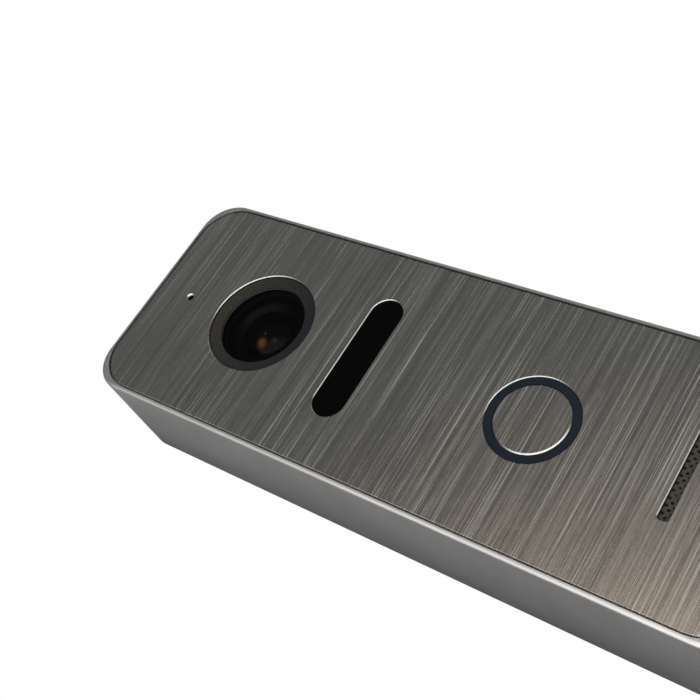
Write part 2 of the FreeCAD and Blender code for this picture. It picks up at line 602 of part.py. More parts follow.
def make_cover_screws():
    """Six screws, their heads sunk in the rear cover."""
    screws = []
    for index, (across, up) in enumerate(COVER_PLACES + MIDDLE_PLACES, 1):
        screws.append(screw(f"cover_screw_{index}", across, up, "cover_screw_head",
                            "cover_rear + glue_gap + head_thick", "head_thick", "cover_screw_shank",
                            "cover_screw_long"))
    group("rear_cover_screws", screws)


def beads(width, height):
    """Outlines of the two long beads, their ends all but half round."""
    return [rounded(width, height, f"({width}) * 0.49", across) for across in ("-bead_across", "bead_across")]


def make_wall_bracket():
    """Pressed steel bracket: beaded plate, two screw holes, two hooks and a bent tab for the lock screw."""
    bracket = Piece("wall_bracket")
    bracket.pad("0", "bracket_thick", rounded("bracket_width", "bracket_height", "bracket_corner"))
    hook_height = "bracket_height / 2 - hook_root"
    middle = "hook_root + bracket_height / 4 - hook_root / 2"
    bracket.pad("0", "hook_reach",
                square("hook_wide", hook_height, "-hook_across", middle),
                square("hook_wide", hook_height, "hook_across", middle))
    tip_middle = "(hook_top + hook_root) / 2"
    bracket.pad("hook_reach - bracket_thick", "hook_reach",
                square("hook_wide", "hook_top - hook_root", "-hook_across", tip_middle),
                square("hook_wide", "hook_top - hook_root", "hook_across", tip_middle))
    bracket.pad("0", "tab_reach", square("tab_wide", "tab_high - tab_low", "0", "(tab_high + tab_low) / 2"))
    bracket.pocket("0", "bracket_thick",
                   rounded("bracket_window_width", "bracket_window_height", "bracket_window_corner"),
                   disc("wall_screw_hole", "0", "wall_screw_spacing / 2"),
                   disc("wall_screw_hole", "0", "-wall_screw_spacing / 2"))
    bracket.pad("bracket_thick", "bracket_thick + bead_deep", *beads("bead_wide", "bead_height"))
    bracket.pocket("0", "bead_deep", *beads("bead_wide - 2 * bead_deep", "bead_height - 2 * bead_deep"))
    bracket.bore_up("tab_low", "tab_high", disc("lock_tab_hole", "0", "lock_out"))


def make_wall_seal():
    """Foam ring in the housing's rear rebate, pressed against the wall."""
    seal = Piece("wall_seal")
    outer = "rebate_wall + 0.1"
    front = "rebate_deep - glue_gap"
    seal.pad("0", front, ring_outline(outer, "rebate_corner - 0.1"))
    seal.pocket("0", front, ring_outline(f"{outer} + seal_wide", "rebate_corner - 0.1 - seal_wide"))


def make_lock_screw():
    """Screw that comes up through the housing's lower end into the bracket's tab."""
    lock = Piece("lock_screw")
    head_low = f"{BOTTOM} + lock_head_sunk"
    head = lock.feature("Pad")
    head.Profile = lock.sketch("XZ_Plane", f"-({head_low})", [disc("lock_head", "0", "lock_out")])
    head.Reversed = True
    drive(head, Length="lock_head_thick")
    shank = lock.feature("Pad")
    shank.Profile = lock.sketch("XZ_Plane", f"-({head_low})", [disc("lock_shank", "0", "lock_out")])
    shank.Reversed = True
    drive(shank, Length=f"lock_tip - ({head_low})")
    lock.bore_up(head_low, f"{head_low} + lock_socket_deep", disc("lock_socket", "0", "lock_out"))


# ---- camera ----

def make_camera_bezel():
    """Black ring with a shallow funnel front, a seat for the window and a flange behind the front wall."""
    Piece("camera_bezel").turn([
        ("bezel_inner", "bezel_shoulder"), ("bezel_inner", "bezel_inner_front"),
        ("bezel_outer", "bezel_outer_front"), ("bezel_outer", f"{CEILING} - glue_gap"),
        ("bezel_flange", f"{CEILING} - glue_gap"), ("bezel_flange", "bezel_rear"),
        ("bezel_seat", "bezel_rear"), ("bezel_seat", "bezel_shoulder")], "camera_up")


def make_camera_window():
    """Clear disc with a bevelled front edge."""
    window = Piece("camera_window")
    window.pad("window_rear", "window_front", disc("window_radius", "0", "camera_up"))
    window.chamfer("window_front", "window_bevel")


def make_ring(label, outer, inner, rear, front, up):
    ring = Piece(label)
    ring.pad(rear, front, disc(outer, "0", up), disc(inner, "0", up))


def make_camera_window_parts():
    """The seal in front of the window and the ring that holds it from behind."""
    make_ring("camera_window_seal", "bezel_seat - 0.1", "window_seal_inner",
              "window_front + gasket_gap", "bezel_shoulder - gasket_gap", "camera_up")
    make_ring("window_retaining_ring", "bezel_seat - 0.1", "retainer_inner",
              "retainer_rear", "window_rear - glue_gap", "camera_up")


def make_lens_barrel():
    """Lens barrel: wide head, threaded body and a stepped bore."""
    Piece("lens_barrel").turn([
        ("lens_throat", "lens_rear"), ("lens_thread", "lens_rear"), ("lens_thread", "lens_head_rear"),
        ("lens_head", "lens_head_rear"), ("lens_head", "lens_front"), ("lens_lip", "lens_front"),
        ("lens_bore", "lens_lip_floor"), ("lens_bore", "lens_bore_floor"),
        ("lens_throat", "lens_throat_top")], "camera_up")


def make_lens_glass(label, radius, low, top, ball):
    """A round glass with a domed front face."""
    rim = post(label + "_rim", radius, "0", "camera_up", low, top)
    dome = doc.addObject("Part::Sphere", label + "_dome")
    drive(dome, Radius=ball)
    dome.setExpression("Placement.Base.y", bound("camera_up"))
    dome.setExpression("Placement.Base.z", bound(f"({top}) - ({ball})"))
    glass = doc.addObject("Part::MultiCommon", label)
    glass.Shapes = [rim, dome]
    keep(glass, label)


def make_lens_holder():
    """Base with a cavity over the sensor, two screw ears and the tube that takes the barrel."""
    holder = Piece("lens_holder")
    rear = "camera_board_front + glue_gap"
    holder.pad(rear, "holder_top", rounded("holder_size", "holder_size", "board_corner", "0", "camera_up"))
    holder.pad(rear, "holder_ear_top", stadium("holder_ear_long", "holder_ear_wide", "0", "camera_up"))
    holder.pad("holder_top", "holder_tube_top", disc("holder_tube", "0", "camera_up"))
    holder.pocket("holder_bore_floor", "holder_tube_top", disc("holder_bore", "0", "camera_up"))
    holder.pocket(rear, "holder_bore_floor", square("holder_cavity", "holder_cavity", "0", "camera_up"))
    holder.pocket(rear, "holder_ear_top", *discs("tiny_screw_hole", EAR_PLACES))


def make_camera_optics():
    """Infrared filter and image sensor, in the cavity of the lens holder."""
    filter_glass = Piece("infrared_filter")
    filter_glass.pad("filter_rear", "filter_rear + filter_thick",
                     square("filter_size", "filter_size", "0", "camera_up"))
    sensor = Piece("image_sensor")
    rear = "camera_board_front + glue_gap"
    sensor.pad(rear, f"{rear} + sensor_thick", square("sensor_width", "sensor_height", "0", "camera_up"))


def make_camera_board():
    """Square circuit board behind the lens holder."""
    board = Piece("camera_board")
    board.pad("camera_board_rear", "camera_board_front",
              rounded("camera_board_size", "camera_board_size", "board_corner", "0", "camera_up"))
    board.pocket("camera_board_rear", "camera_board_front", *discs("tiny_screw_hole", EAR_PLACES))


def make_camera_frame():
    """Plate that clamps the lens holder to two bosses of the housing."""
    frame = Piece("camera_frame")
    frame.pad(FRAME_REAR, FRAME_FRONT,
              rounded("camera_frame_width", "camera_frame_height", "board_corner", "0", "camera_up"))
    frame.pocket(FRAME_REAR, FRAME_FRONT, disc("camera_frame_hole", "0", "camera_up"),
                 *discs("small_screw_hole", CAMERA_PLACES))


# ---- light window and LEDs ----

def make_light_window():
    """Gloss black window: a slot-shaped plug with a flange behind the front wall, and its gasket."""
    window = Piece("light_window")
    window.pad("light_flange_rear", "light_flange_front",
               stadium("light_flange_long", "light_flange_wide", "0", "light_up"))
    window.pad("light_flange_front", f"{PLATE_FRONT} - light_drop",
               stadium("light_long - 2 * light_gap", "light_wide - 2 * light_gap", "0", "light_up"))
    gasket = Piece("light_window_gasket")
    gasket.pad("light_flange_front + glue_gap", f"{CEILING} - glue_gap",
               stadium("light_flange_long - 0.2", "light_flange_wide - 0.2", "0", "light_up"),
               stadium("light_long + 0.5", "light_wide + 0.5", "0", "light_up"))


def make_led_board():
    """Small board with four infrared LEDs, a light sensor between them and a header to the main board."""
    board = Piece("led_board")
    board.pad("led_board_rear", "led_board_front",
              rounded("led_board_long", "led_board_wide", "board_corner", "0", "light_up"))
    front = "led_board_front + gasket_gap"
    leds = [
        block(f"led_{index}", "led_long", "led_wide", f"{step} * led_step", "light_up",
              front, f"{front} + led_thick")
        for index, step in enumerate(("-2", "-1", "1", "2"), 1)
    ]
    group("infrared_leds", leds)
    sensor = Piece("light_sensor")
    sensor.pad(front, f"{front} + light_sensor_thick",
               square("light_sensor_long", "light_sensor_wide", "0", "light_up"))
    header = Piece("led_board_header")
    header.pad("board_front + gasket_gap", "led_board_rear - gasket_gap",
               square("led_header_long", "led_header_wide", "7.5", "light_up + 3"))


# ---- call button ----

def make_button_cap():
    """Brushed metal disc with a bright chamfer."""
    cap = Piece("button_cap")
    cap.pad("cap_rear", "cap_front", disc("cap_radius", "0", "button_up"))
    cap.chamfer("cap_front", "cap_chamfer")


def make_button_stem():
    """Plastic carrier under the cap: guide disc, stop flange and the stem that works the switch."""
    Piece("button_stem").turn([
        ("0", "stem_rear"), ("stem_radius", "stem_rear"), ("stem_radius", "stem_flange_rear"),
        ("stem_flange", "stem_flange_rear"), ("stem_flange", "stem_flange_front"),
        ("stem_disc", "stem_flange_front"), ("stem_disc", "stem_front"), ("0", "stem_front")], "button_up")


def make_button_ring():
    """Smoked light ring around the cap, with a flange behind the front wall, and its gasket."""
    Piece("button_ring").turn([
        ("ring_inner", "ring_rear"), ("ring_outer", "ring_rear"), ("ring_outer", "ring_flange_rear"),
        ("ring_flange", "ring_flange_rear"), ("ring_flange", "ring_flange_front"),
        ("ring_outer", "ring_flange_front"), ("ring_outer", "ring_front"),
        ("ring_inner", "ring_front")], "button_up")
    make_ring("button_ring_gasket", "ring_flange - 0.1", "button_opening + 0.1",
              "ring_flange_front + glue_gap", f"{CEILING} - glue_gap", "button_up")


def make_button_clamp():
    """Plate that presses the light ring against the front wall."""
    clamp = Piece("button_clamp")
    clamp.pad("clamp_rear", "clamp_front", stadium("clamp_long", "clamp_wide", "0", "button_up"))
    clamp.pocket("clamp_rear", "clamp_front", disc("clamp_hole", "0", "button_up"),
                 *discs("tiny_screw_hole", CLAMP_PLACES))


def make_switch():
    """Tactile switch on the main board: body with a well, and the plunger that the stem presses."""
    rear = "board_front + gasket_gap"
    body = Piece("switch_body")
    body.pad(rear, "switch_top", square("switch_size", "switch_size", "0", "button_up"))
    body.pocket("switch_well", "switch_top", disc("switch_well_radius", "0", "button_up"))
    plunger = Piece("switch_plunger")
    plunger.pad("switch_plunger_rear", "switch_plunger_front",
                disc("switch_plunger_radius", "0", "button_up"))


def make_ring_leds():
    """Four LEDs around the switch that light the ring."""
    rear = "board_front + gasket_gap"
    places = [("ring_led_out", "button_up"), ("-ring_led_out", "button_up"),
              ("0", "button_up + ring_led_out"), ("0", "button_up - ring_led_out")]
    group("ring_leds", [
        block(f"ring_led_{index}", "ring_led_size", "ring_led_size", across, up, rear,
              f"{rear} + ring_led_thick")
        for index, (across, up) in enumerate(places, 1)
    ])


# ---- speaker ----

def make_speaker_mesh():
    """Perforated strip behind the slot: five staggered rows of fine holes."""
    mesh = Piece("speaker_mesh")
    mesh.pad("mesh_rear", "mesh_front", square("mesh_long", "mesh_wide", "0", "slot_up"))
    start = "-6.5 * mesh_pitch"
    half = "-6 * mesh_pitch"
    mesh.pocket("mesh_rear", "mesh_front",
                disc("mesh_hole", start, "slot_up"),
                disc("mesh_hole", start, "slot_up + 2 * mesh_row"),
                disc("mesh_hole", start, "slot_up - 2 * mesh_row"),
                disc("mesh_hole", half, "slot_up + mesh_row"),
                disc("mesh_hole", half, "slot_up - mesh_row"))
    seed = mesh.body.Tip
    pattern = mesh.feature("LinearPattern")
    pattern.Originals = [seed]
    axis = next(item for item in mesh.body.Origin.OriginFeatures if item.Role == "X_Axis")
    pattern.Direction = (axis, [""])
    pattern.Occurrences = 13
    drive(pattern, Length="12 * mesh_pitch")
    mesh.body.Tip = pattern


def make_speaker_basket():
    """Round basket with a ledge for the surround and a hole for the magnet, and the foam in front of it."""
    Piece("speaker_basket").turn([
        ("basket_hole", "basket_rear"), ("basket_outer", "basket_rear"), ("basket_outer", "basket_front"),
        ("basket_lip", "basket_front"), ("basket_lip", "basket_ledge"), ("basket_inner", "basket_ledge"),
        ("basket_inner", "basket_floor"), ("basket_hole", "basket_floor")], "speaker_up")
    make_ring("speaker_foam", "foam_outer", "foam_inner", "basket_front + glue_gap",
              f"{CEILING} - glue_gap", "speaker_up")
    make_ring("speaker_surround", "surround_outer", "surround_inner", "basket_ledge + gasket_gap",
              "surround_front", "speaker_up")


def make_speaker_cone():
    """Thin cone with its dust cap, and the voice coil behind it."""
    Piece("speaker_cone").turn([
        ("0", "dome_top"), ("coil_inner", "cone_neck"), ("coil_outer", "cone_neck"),
        ("cone_outer", "cone_edge"), ("cone_outer", "cone_edge + cone_thick"),
        ("coil_outer", "cone_neck + cone_thick"), ("coil_inner", "cone_neck + cone_thick"),
        ("0", "dome_top + cone_thick")], "speaker_up")
    make_ring("voice_coil", "coil_outer", "coil_inner", "coil_rear", "cone_neck - gasket_gap", "speaker_up")


def make_speaker_magnet():
    """Cup magnet with a round pole and the gap that the voice coil works in."""
    Piece("speaker_magnet").turn([
        ("0", "magnet_rear"), ("magnet_outer", "magnet_rear"), ("magnet_outer", "magnet_front"),
        ("magnet_gap_outer", "magnet_front"), ("magnet_gap_outer", "magnet_floor"),
        ("magnet_gap_inner", "magnet_floor"), ("magnet_gap_inner", "pole_front"),
        ("0", "pole_front")], "speaker_up")


# ---- microphone ----

def make_microphone():
    """Electret capsule in a rubber boot behind the small hole."""
    boot = Piece("microphone_boot")
    front = f"{CEILING} - glue_gap"
    boot.pad("boot_rear", front, disc("boot_outer", "0", "mic_up"))
    boot.pocket("boot_rear", "boot_floor", disc("boot_bore", "0", "mic_up"))
    boot.pocket("boot_floor", front, disc("mic_opening", "0", "mic_up"))
    capsule = Piece("microphone_capsule")
    capsule.pad("capsule_rear", "capsule_front", disc("capsule_radius", "0", "mic_up"))


def make_inner_wires():
    """Two wires from the speaker to the main board, and two from the microphone down the left wall."""
    connector_top = "board_front + 3.6"
    paths = [
        [(f"{sign}2", "speaker_up + 9.9", "basket_rear - gasket_gap"),
         (f"{sign}2", "speaker_up + 9.9", "inner_wire_run"),
         (f"{sign}1", "speaker_up + 9", "inner_wire_run"),
         (f"{sign}1", "speaker_up + 9", connector_top)]
        for sign in ("-", "")
    ]
    for step in (0, 1):
        capsule_across, wall_across = f"-1 + 2 * {step}", f"-18.9 + {step}"
        board_across, board_up = f"-7.2 + 1.4 * {step}", f"board_boss_high + 2.6 + 0.8 * {step}"
        paths.append([
            (capsule_across, f"mic_up - {step}", "capsule_rear - gasket_gap"),
            (capsule_across, f"mic_up - {step}", "inner_wire_run"),
            (wall_across, f"mic_up - {step}", "inner_wire_run"),
            (wall_across, board_up, "inner_wire_run"),
            (board_across, board_up, "inner_wire_run"),
            (board_across, "board_boss_high + 0.4", "inner_wire_run"),
            (board_across, "board_boss_high + 0.4", connector_top)])
    bent_wires("inner_wires", paths, number("thin_wire"))


# ---- electronics ----

def make_main_board():
    """Main board on four bosses."""
    board = Piece("main_board")
    board.pad("board_rear", "board_front - gasket_gap",
              rounded("board_width", "board_height", "board_corner", "0", "board_up"))
    board.pocket("board_rear", "board_front - gasket_gap", *discs("small_screw_hole", BOARD_PLACES))


def make_inner_screws():
    """Six small screws for the main board and the camera frame, and four tiny ones for clamp and camera."""
    small = [(across, up, "board_rear") for across, up in BOARD_PLACES]
    small += [(across, up, FRAME_REAR) for across, up in CAMERA_PLACES]
    tiny = [(across, up, "clamp_rear") for across, up in CLAMP_PLACES]
    tiny += [(across, up, "camera_board_rear") for across, up in EAR_PLACES]
    for size, places in (("small", small), ("tiny", tiny)):
        group(f"{size}_screws", [
            screw(f"{size}_screw_{index}", across, up, f"{size}_screw_head", f"{level} - glue_gap",
                  "inner_head_thick", f"{size}_screw_shank", f"{size}_screw_long")
            for index, (across, up, level) in enumerate(places, 1)
        ])


def make_board_parts():
    """Chips, capacitors, inductor and relay of the main board, and the connectors of both boards."""
    front = "board_front + gasket_gap"
    group("chips", [
        block("processor", "10", "10", "-3", "13.5", front, f"{front} + 1"),
        block("memory", "6", "5", "8.5", "11.5", front, f"{front} + 0.9"),
    ])
    group("capacitors", [
        post("capacitor_1", "3.1", "4.5", "-3.5", front, f"{front} + 7"),
        post("capacitor_2", "3.1", "11.5", "-3.5", front, f"{front} + 7"),
    ])
    inductor = Piece("inductor")
    inductor.pad(front, f"{front} + 3", rounded("5.6", "5.6", "board_corner", "8", "4.6"))
    relay = Piece("relay")
    relay.pad(front, f"{front} + 8", rounded("12.8", "9", "0.4", "-8", "-2"))
    relay.chamfer(f"{front} + 8", "0.3")
    group("board_connectors", [
        block("microphone_connector", "5", "3", "-6.5", "board_boss_high + 0.4", front, f"{front} + 3.5"),
        block("speaker_connector", "5", "3", "0", "speaker_up + 9", front, f"{front} + 3.5"),
        block("ribbon_connector", "10", "3", "0", "19.5", "board_rear - 1.22", "board_rear - gasket_gap"),
        block("camera_connector", "10", "3", "0", "camera_up - 9",
              "camera_board_rear - 1.6", "camera_board_rear - gasket_gap"),
    ])


def make_camera_ribbon():
    """Flat ribbon from the camera board's connector to the main board's."""
    ribbon = Piece("camera_ribbon")
    start, end = "21.05", "camera_up - 10.55"
    ribbon.pad("6.7", "6.85", square("8", f"{end} - {start}", "0", f"({end} + {start}) / 2"))


def make_volume_trimmer():
    """Trimmer on the back of the main board, turned with a screwdriver through the rear cover."""
    body = Piece("trimmer_body")
    body.pad("trimmer_rear", "board_rear - gasket_gap",
             square("trimmer_size", "trimmer_size", "trimmer_across", "trimmer_up"))
    body.pocket("trimmer_rear", "trimmer_well_floor", disc("trimmer_well", "trimmer_across", "trimmer_up"))
    rotor = Piece("volume_trimmer")
    rotor.pad("rotor_rear", "rotor_front", disc("rotor_radius", "trimmer_across", "trimmer_up"))
    rotor.pocket("rotor_rear", "rotor_rear + rotor_slot_deep",
                 square("3 * rotor_radius", "rotor_slot_wide", "trimmer_across", "trimmer_up"))


def make_cable():
    """Grommet in the rear cover, the four-wire pigtail through it and the plug at its end."""
    grommet = Piece("cable_grommet")
    body = stadium("grommet_long", "grommet_wide", "0", "grommet_up")
    lip = stadium("grommet_long + 2 * grommet_lip", "grommet_wide + 2 * grommet_lip", "0", "grommet_up")
    inner_lip = "cover_front + glue_gap"
    outer_lip = "cover_rear - glue_gap - grommet_lip_thick"
    grommet.pad(outer_lip, f"{inner_lip} + grommet_lip_thick", body)
    grommet.pad(inner_lip, f"{inner_lip} + grommet_lip_thick", lip)
    grommet.pad(outer_lip, "cover_rear - glue_gap", lip)
    grommet.pocket(outer_lip, f"{inner_lip} + grommet_lip_thick",
                   stadium("grommet_slot_long", "grommet_slot_wide", "0", "grommet_up"))
    paths = [
        [(f"{step} * wire_step", "grommet_up", "board_rear - glue_gap"),
         (f"{step} * wire_step", "grommet_up", "wire_run"),
         (f"{step} * wire_step", "plug_up - plug_wide / 2 - gasket_gap", "wire_run")]
        for step in ("-1.5", "-0.5", "0.5", "1.5")
    ]
    bent_wires("pigtail_wires", paths, number("wire_radius"))
    plug = Piece("pigtail_plug")
    plug.pad("plug_rear", "plug_front", rounded("plug_long", "plug_wide", "0.5", "0", "plug_up"))


# ---- checks and files ----

def check_document():
    """Stop if anything failed to build, and if a cut removed nothing."""
    for thing in doc.Objects:
        if "Invalid" in thing.State or "Error" in thing.State:
            raise RuntimeError(f"{thing.Label} failed: {thing.State}")
    for cut in cuts:
        if cut.Shape.Volume > cut.BaseFeature.Shape.Volume - TINY:
            raise RuntimeError(f"{cut.Label} cuts nothing")
    for piece in pieces:
        if piece.Shape.isNull() or not piece.Shape.isValid() or not piece.Shape.Solids:
            raise RuntimeError(f"{piece.Label} has no valid solid")


def write_files():
    """One STEP file for each piece."""
    os.makedirs("parts", exist_ok=True)
    for piece in pieces:
        piece.Shape.exportStep(f"parts/{piece.Label}.step")


def make_everything():
    make_housing()
    make_front_plate()
    make_plate_adhesive()
    make_rear_cover()
    make_rear_gasket()
    make_cover_screws()
    make_wall_bracket()
    make_wall_seal()
    make_lock_screw()
    make_camera_bezel()
    make_camera_window()
    make_camera_window_parts()
    make_lens_barrel()
    make_lens_glass("lens_front_element", "lens_bore - glass_gap", "lens_bore_floor + glass_gap",
                    "front_glass_top", "front_glass_ball")
    make_lens_glass("lens_rear_element", "lens_throat - glass_gap", "rear_glass_low",
                    "rear_glass_top", "rear_glass_ball")
    make_lens_holder()
    make_camera_optics()
    make_camera_board()
    make_camera_frame()
    make_light_window()
    make_led_board()
    make_button_cap()
    make_button_stem()
    make_button_ring()
    make_button_clamp()
    make_switch()
    make_ring_leds()
    make_speaker_mesh()
    make_speaker_basket()
    make_speaker_cone()
    make_speaker_magnet()
    make_microphone()
    make_inner_wires()
    make_main_board()
    make_inner_screws()
    make_board_parts()
    make_camera_ribbon()
    make_volume_trimmer()
    make_cable()


fill_sheet()
make_everything()
doc.recompute()
check_document()
write_files()
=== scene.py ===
"""Looks, light and camera for the video door station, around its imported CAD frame.

Lengths are in metres in the row frame: +Z up the panel, the front face towards -Y, the wall at y = 0.
Procedural patterns are laid out in millimetres of that same frame.
"""
import json

import bpy
from mathutils import Matrix, Vector


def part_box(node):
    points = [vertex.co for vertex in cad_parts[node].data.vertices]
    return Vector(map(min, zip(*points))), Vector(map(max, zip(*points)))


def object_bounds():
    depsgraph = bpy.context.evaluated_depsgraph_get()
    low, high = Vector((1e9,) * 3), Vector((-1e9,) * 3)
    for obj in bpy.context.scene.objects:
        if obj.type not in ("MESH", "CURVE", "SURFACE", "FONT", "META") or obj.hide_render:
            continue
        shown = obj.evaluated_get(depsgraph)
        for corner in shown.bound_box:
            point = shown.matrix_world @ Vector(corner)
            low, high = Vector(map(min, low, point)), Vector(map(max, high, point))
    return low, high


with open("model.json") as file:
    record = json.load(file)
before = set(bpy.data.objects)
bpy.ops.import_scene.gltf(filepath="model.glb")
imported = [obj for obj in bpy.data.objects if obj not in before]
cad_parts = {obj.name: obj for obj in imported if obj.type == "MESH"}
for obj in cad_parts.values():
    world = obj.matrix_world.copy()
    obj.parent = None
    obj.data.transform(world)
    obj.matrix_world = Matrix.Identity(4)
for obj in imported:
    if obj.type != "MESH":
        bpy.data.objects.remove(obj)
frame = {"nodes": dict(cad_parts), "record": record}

cad_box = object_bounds()
nodes = frame["nodes"]
MM = 0.001
PLATE_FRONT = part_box("front_plate")[0].y / MM


# ---- building materials out of nodes ----

class Paint:
    """A material with one Principled shader, and short names for the nodes that drive it."""

    def __init__(self, name, **settings):
        self.material = bpy.data.materials.new(name)
        self.material.use_nodes = True
        self.tree = self.material.node_tree
        self.shader = self.tree.nodes["Principled BSDF"]
        self.output = self.tree.nodes["Material Output"]
        self.place = None
        self.drive(**settings)

    def drive(self, **inputs):
        """Values or links for the Principled shader."""
        self.set(self.shader, {key.replace("_", " "): value for key, value in inputs.items()})

    def set(self, node, inputs):
        """Give inputs of a node a value, or a link where the value is another node's output."""
        for name, value in inputs.items():
            socket = node.inputs[name]
            if isinstance(value, bpy.types.NodeSocket):
                self.tree.links.new(value, socket)
            else:
                socket.default_value = value

    def add(self, kind, settings=None, **inputs):
        node = self.tree.nodes.new("ShaderNode" + kind)
        for name, value in (settings or {}).items():
            setattr(node, name, value)
        self.set(node, {key.replace("_", " "): value for key, value in inputs.items()})
        return node

    def millimetres(self, scale=(1, 1, 1), turn=(0, 0, 0)):
        """Positions in the row frame, in millimetres times scale."""
        if self.place is None:
            self.place = self.add("TexCoord").outputs["Object"]
        mapping = self.add("Mapping", Vector=self.place)
        mapping.inputs["Scale"].default_value = [1000 * value for value in scale]
        mapping.inputs["Rotation"].default_value = turn
        return mapping.outputs["Vector"]

    def noise(self, scale, detail=2.0, rough=0.5, turn=(0, 0, 0)):
        """A noise whose waves repeat about scale times per millimetre."""
        if not isinstance(scale, tuple):
            scale = (scale, scale, scale)
        node = self.add("TexNoise", Vector=self.millimetres(scale, turn), Scale=1.0, Detail=detail,
                        Roughness=rough)
        return node.outputs["Fac"]

    def spread(self, value, low, high, start=0.0, end=1.0, smooth=True):
        """Map low..high to start..end."""
        kind = "SMOOTHSTEP" if smooth else "LINEAR"
        node = self.add("MapRange", {"interpolation_type": kind}, Value=value)
        for name, number in (("From Min", low), ("From Max", high), ("To Min", start), ("To Max", end)):
            node.inputs[name].default_value = number
        return node.outputs["Result"]

    def maths(self, operation, first, second=0.0, third=0.0):
        node = self.add("Math", {"operation": operation})
        for socket, value in zip(node.inputs, (first, second, third)):
            if isinstance(value, bpy.types.NodeSocket):
                self.tree.links.new(value, socket)
            else:
                socket.default_value = value
        return node.outputs["Value"]

    def mix(self, share, first, second):
        """Blend two colours."""
        node = self.add("Mix", {"data_type": "RGBA"})
        for socket, value in zip((node.inputs["Factor"], node.inputs[6], node.inputs[7]), (share, first, second)):
            if isinstance(value, bpy.types.NodeSocket):
                self.tree.links.new(value, socket)
            else:
                socket.default_value = value
        return node.outputs[2]

    def brighten(self, colour, amount):
        """A colour times a number."""
        node = self.add("Mix", {"data_type": "RGBA", "blend_type": "MULTIPLY"})
        node.inputs["Factor"].default_value = 1.0
        node.inputs[6].default_value = colour
        spread = self.add("CombineColor", Red=amount, Green=amount, Blue=amount)
        self.tree.links.new(spread.outputs["Color"], node.inputs[7])
        return node.outputs[2]

    def bump(self, height, depth_mm, strength=1.0):
        """A normal that follows height, which is depth_mm at 1."""
        return self.add("Bump", Strength=strength, Distance=depth_mm * MM, Height=height).outputs["Normal"]

    def edges(self, radius_mm):
        """1 on sharp edges and 0 elsewhere."""
        bevel = self.add("Bevel", {"samples": 4}, Radius=radius_mm * MM)
        true = self.add("NewGeometry").outputs["Normal"]
        dot = self.add("VectorMath", {"operation": "DOT_PRODUCT"})
        self.tree.links.new(bevel.outputs["Normal"], dot.inputs[0])
        self.tree.links.new(true, dot.inputs[1])
        return self.spread(dot.outputs["Value"], 0.98, 0.8)

    def along(self, axis):
        """The position along one axis of the row frame, in millimetres."""
        place = self.millimetres()
        return self.add("SeparateXYZ", Vector=place).outputs[axis]


def grey(value, alpha=1.0):
    return (value, value, value, alpha)


def rgb(red, green, blue, alpha=1.0):
    return (red, green, blue, alpha)


# ---- metals ----

def brushed(name, colour, roughness):
    """Metal brushed across the panel: streaks along X that change quickly up the panel, and a few rougher hairlines
    whose brightness is partly a painted highlight. Edges are brighter, partly worn and partly a painted highlight, and
    hole walls below the front face are darkened by painted shade.
    """
    paint = Paint(name, Metallic=1.0)
    hair = paint.noise((0.03, 0.2, 7.5), detail=2.0, rough=0.7)
    strand = paint.noise((0.022, 0.2, 2.6), detail=4.0, rough=0.75)
    band = paint.noise((0.012, 0.2, 0.45), detail=2.0)
    # Hairlines: rougher, and brighter in colour as a painted highlight.
    scratch_and_sheen = paint.spread(paint.noise((0.04, 0.2, 6.5), detail=0.0), 0.69, 0.8)
    tone = paint.maths("MULTIPLY_ADD", paint.maths("SUBTRACT", hair, 0.5), 0.9, 1.0)
    tone = paint.maths("MULTIPLY_ADD", paint.maths("SUBTRACT", strand, 0.5), 0.7, tone)
    tone = paint.maths("MULTIPLY_ADD", paint.maths("SUBTRACT", band, 0.5), 0.15, tone)
    # Brighter edges: partly worn, partly a painted edge highlight.
    tone = paint.maths("MULTIPLY_ADD", paint.edges(0.12), 0.2, tone)
    height = paint.maths("MULTIPLY_ADD", hair, 0.5, strand)
    rough = paint.spread(strand, 0.3, 0.7, roughness - 0.05, roughness + 0.06)
    # Painted shade: the colour darkens on walls more than 0.18 mm below the plate's front face.
    painted_wall_shade = paint.spread(paint.along("Y"), PLATE_FRONT + 0.18, PLATE_FRONT + 0.30, 1.0, 0.18)
    tone = paint.maths("MULTIPLY", paint.maths("MULTIPLY_ADD", scratch_and_sheen, 0.3, tone), painted_wall_shade)
    paint.drive(Base_Color=paint.brighten(colour, tone),
                Roughness=paint.maths("MULTIPLY_ADD", scratch_and_sheen, 0.2, rough),
                Normal=paint.bump(height, 0.03))
    return paint


def satin_metal(name, colour, roughness, grain=5.0, depth=0.01, edge_wear_and_highlight=0.25, metallic=1.0):
    """Blasted or cast metal: fine even grain, faint clouds, and brighter edges that are partly worn and partly a
    painted edge highlight.
    """
    paint = Paint(name, Metallic=metallic)
    clouds = paint.noise(0.12, detail=3.0)
    speckle = paint.noise(grain, detail=2.0, rough=0.6)
    tone = paint.maths("ADD", paint.spread(clouds, 0.2, 0.8, 0.93, 1.05), paint.spread(speckle, 0.2, 0.8, -0.05, 0.05))
    # Brighter edges: partly worn, partly a painted edge highlight.
    tone = paint.maths("MULTIPLY_ADD", paint.edges(0.15), edge_wear_and_highlight, tone)
    paint.drive(Base_Color=paint.brighten(colour, tone),
                Roughness=paint.spread(speckle, 0.2, 0.8, roughness - 0.05, roughness + 0.06),
                Normal=paint.bump(speckle, depth, 0.5))
    return paint


def wound_copper(name):
    """Enamelled copper wire, wound in rings around the coil's axis."""
    paint = Paint(name, Metallic=1.0, Roughness=0.32)
    turns = paint.add("TexWave", {"wave_type": "BANDS", "bands_direction": "Y"},
                      Vector=paint.millimetres(), Scale=1.6, Distortion=0.15).outputs["Fac"]
    paint.drive(Base_Color=paint.mix(turns, rgb(0.30, 0.11, 0.04), rgb(0.80, 0.38, 0.20)),
                Normal=paint.bump(turns, 0.05))
    return paint


# ---- plastics, rubber and film ----

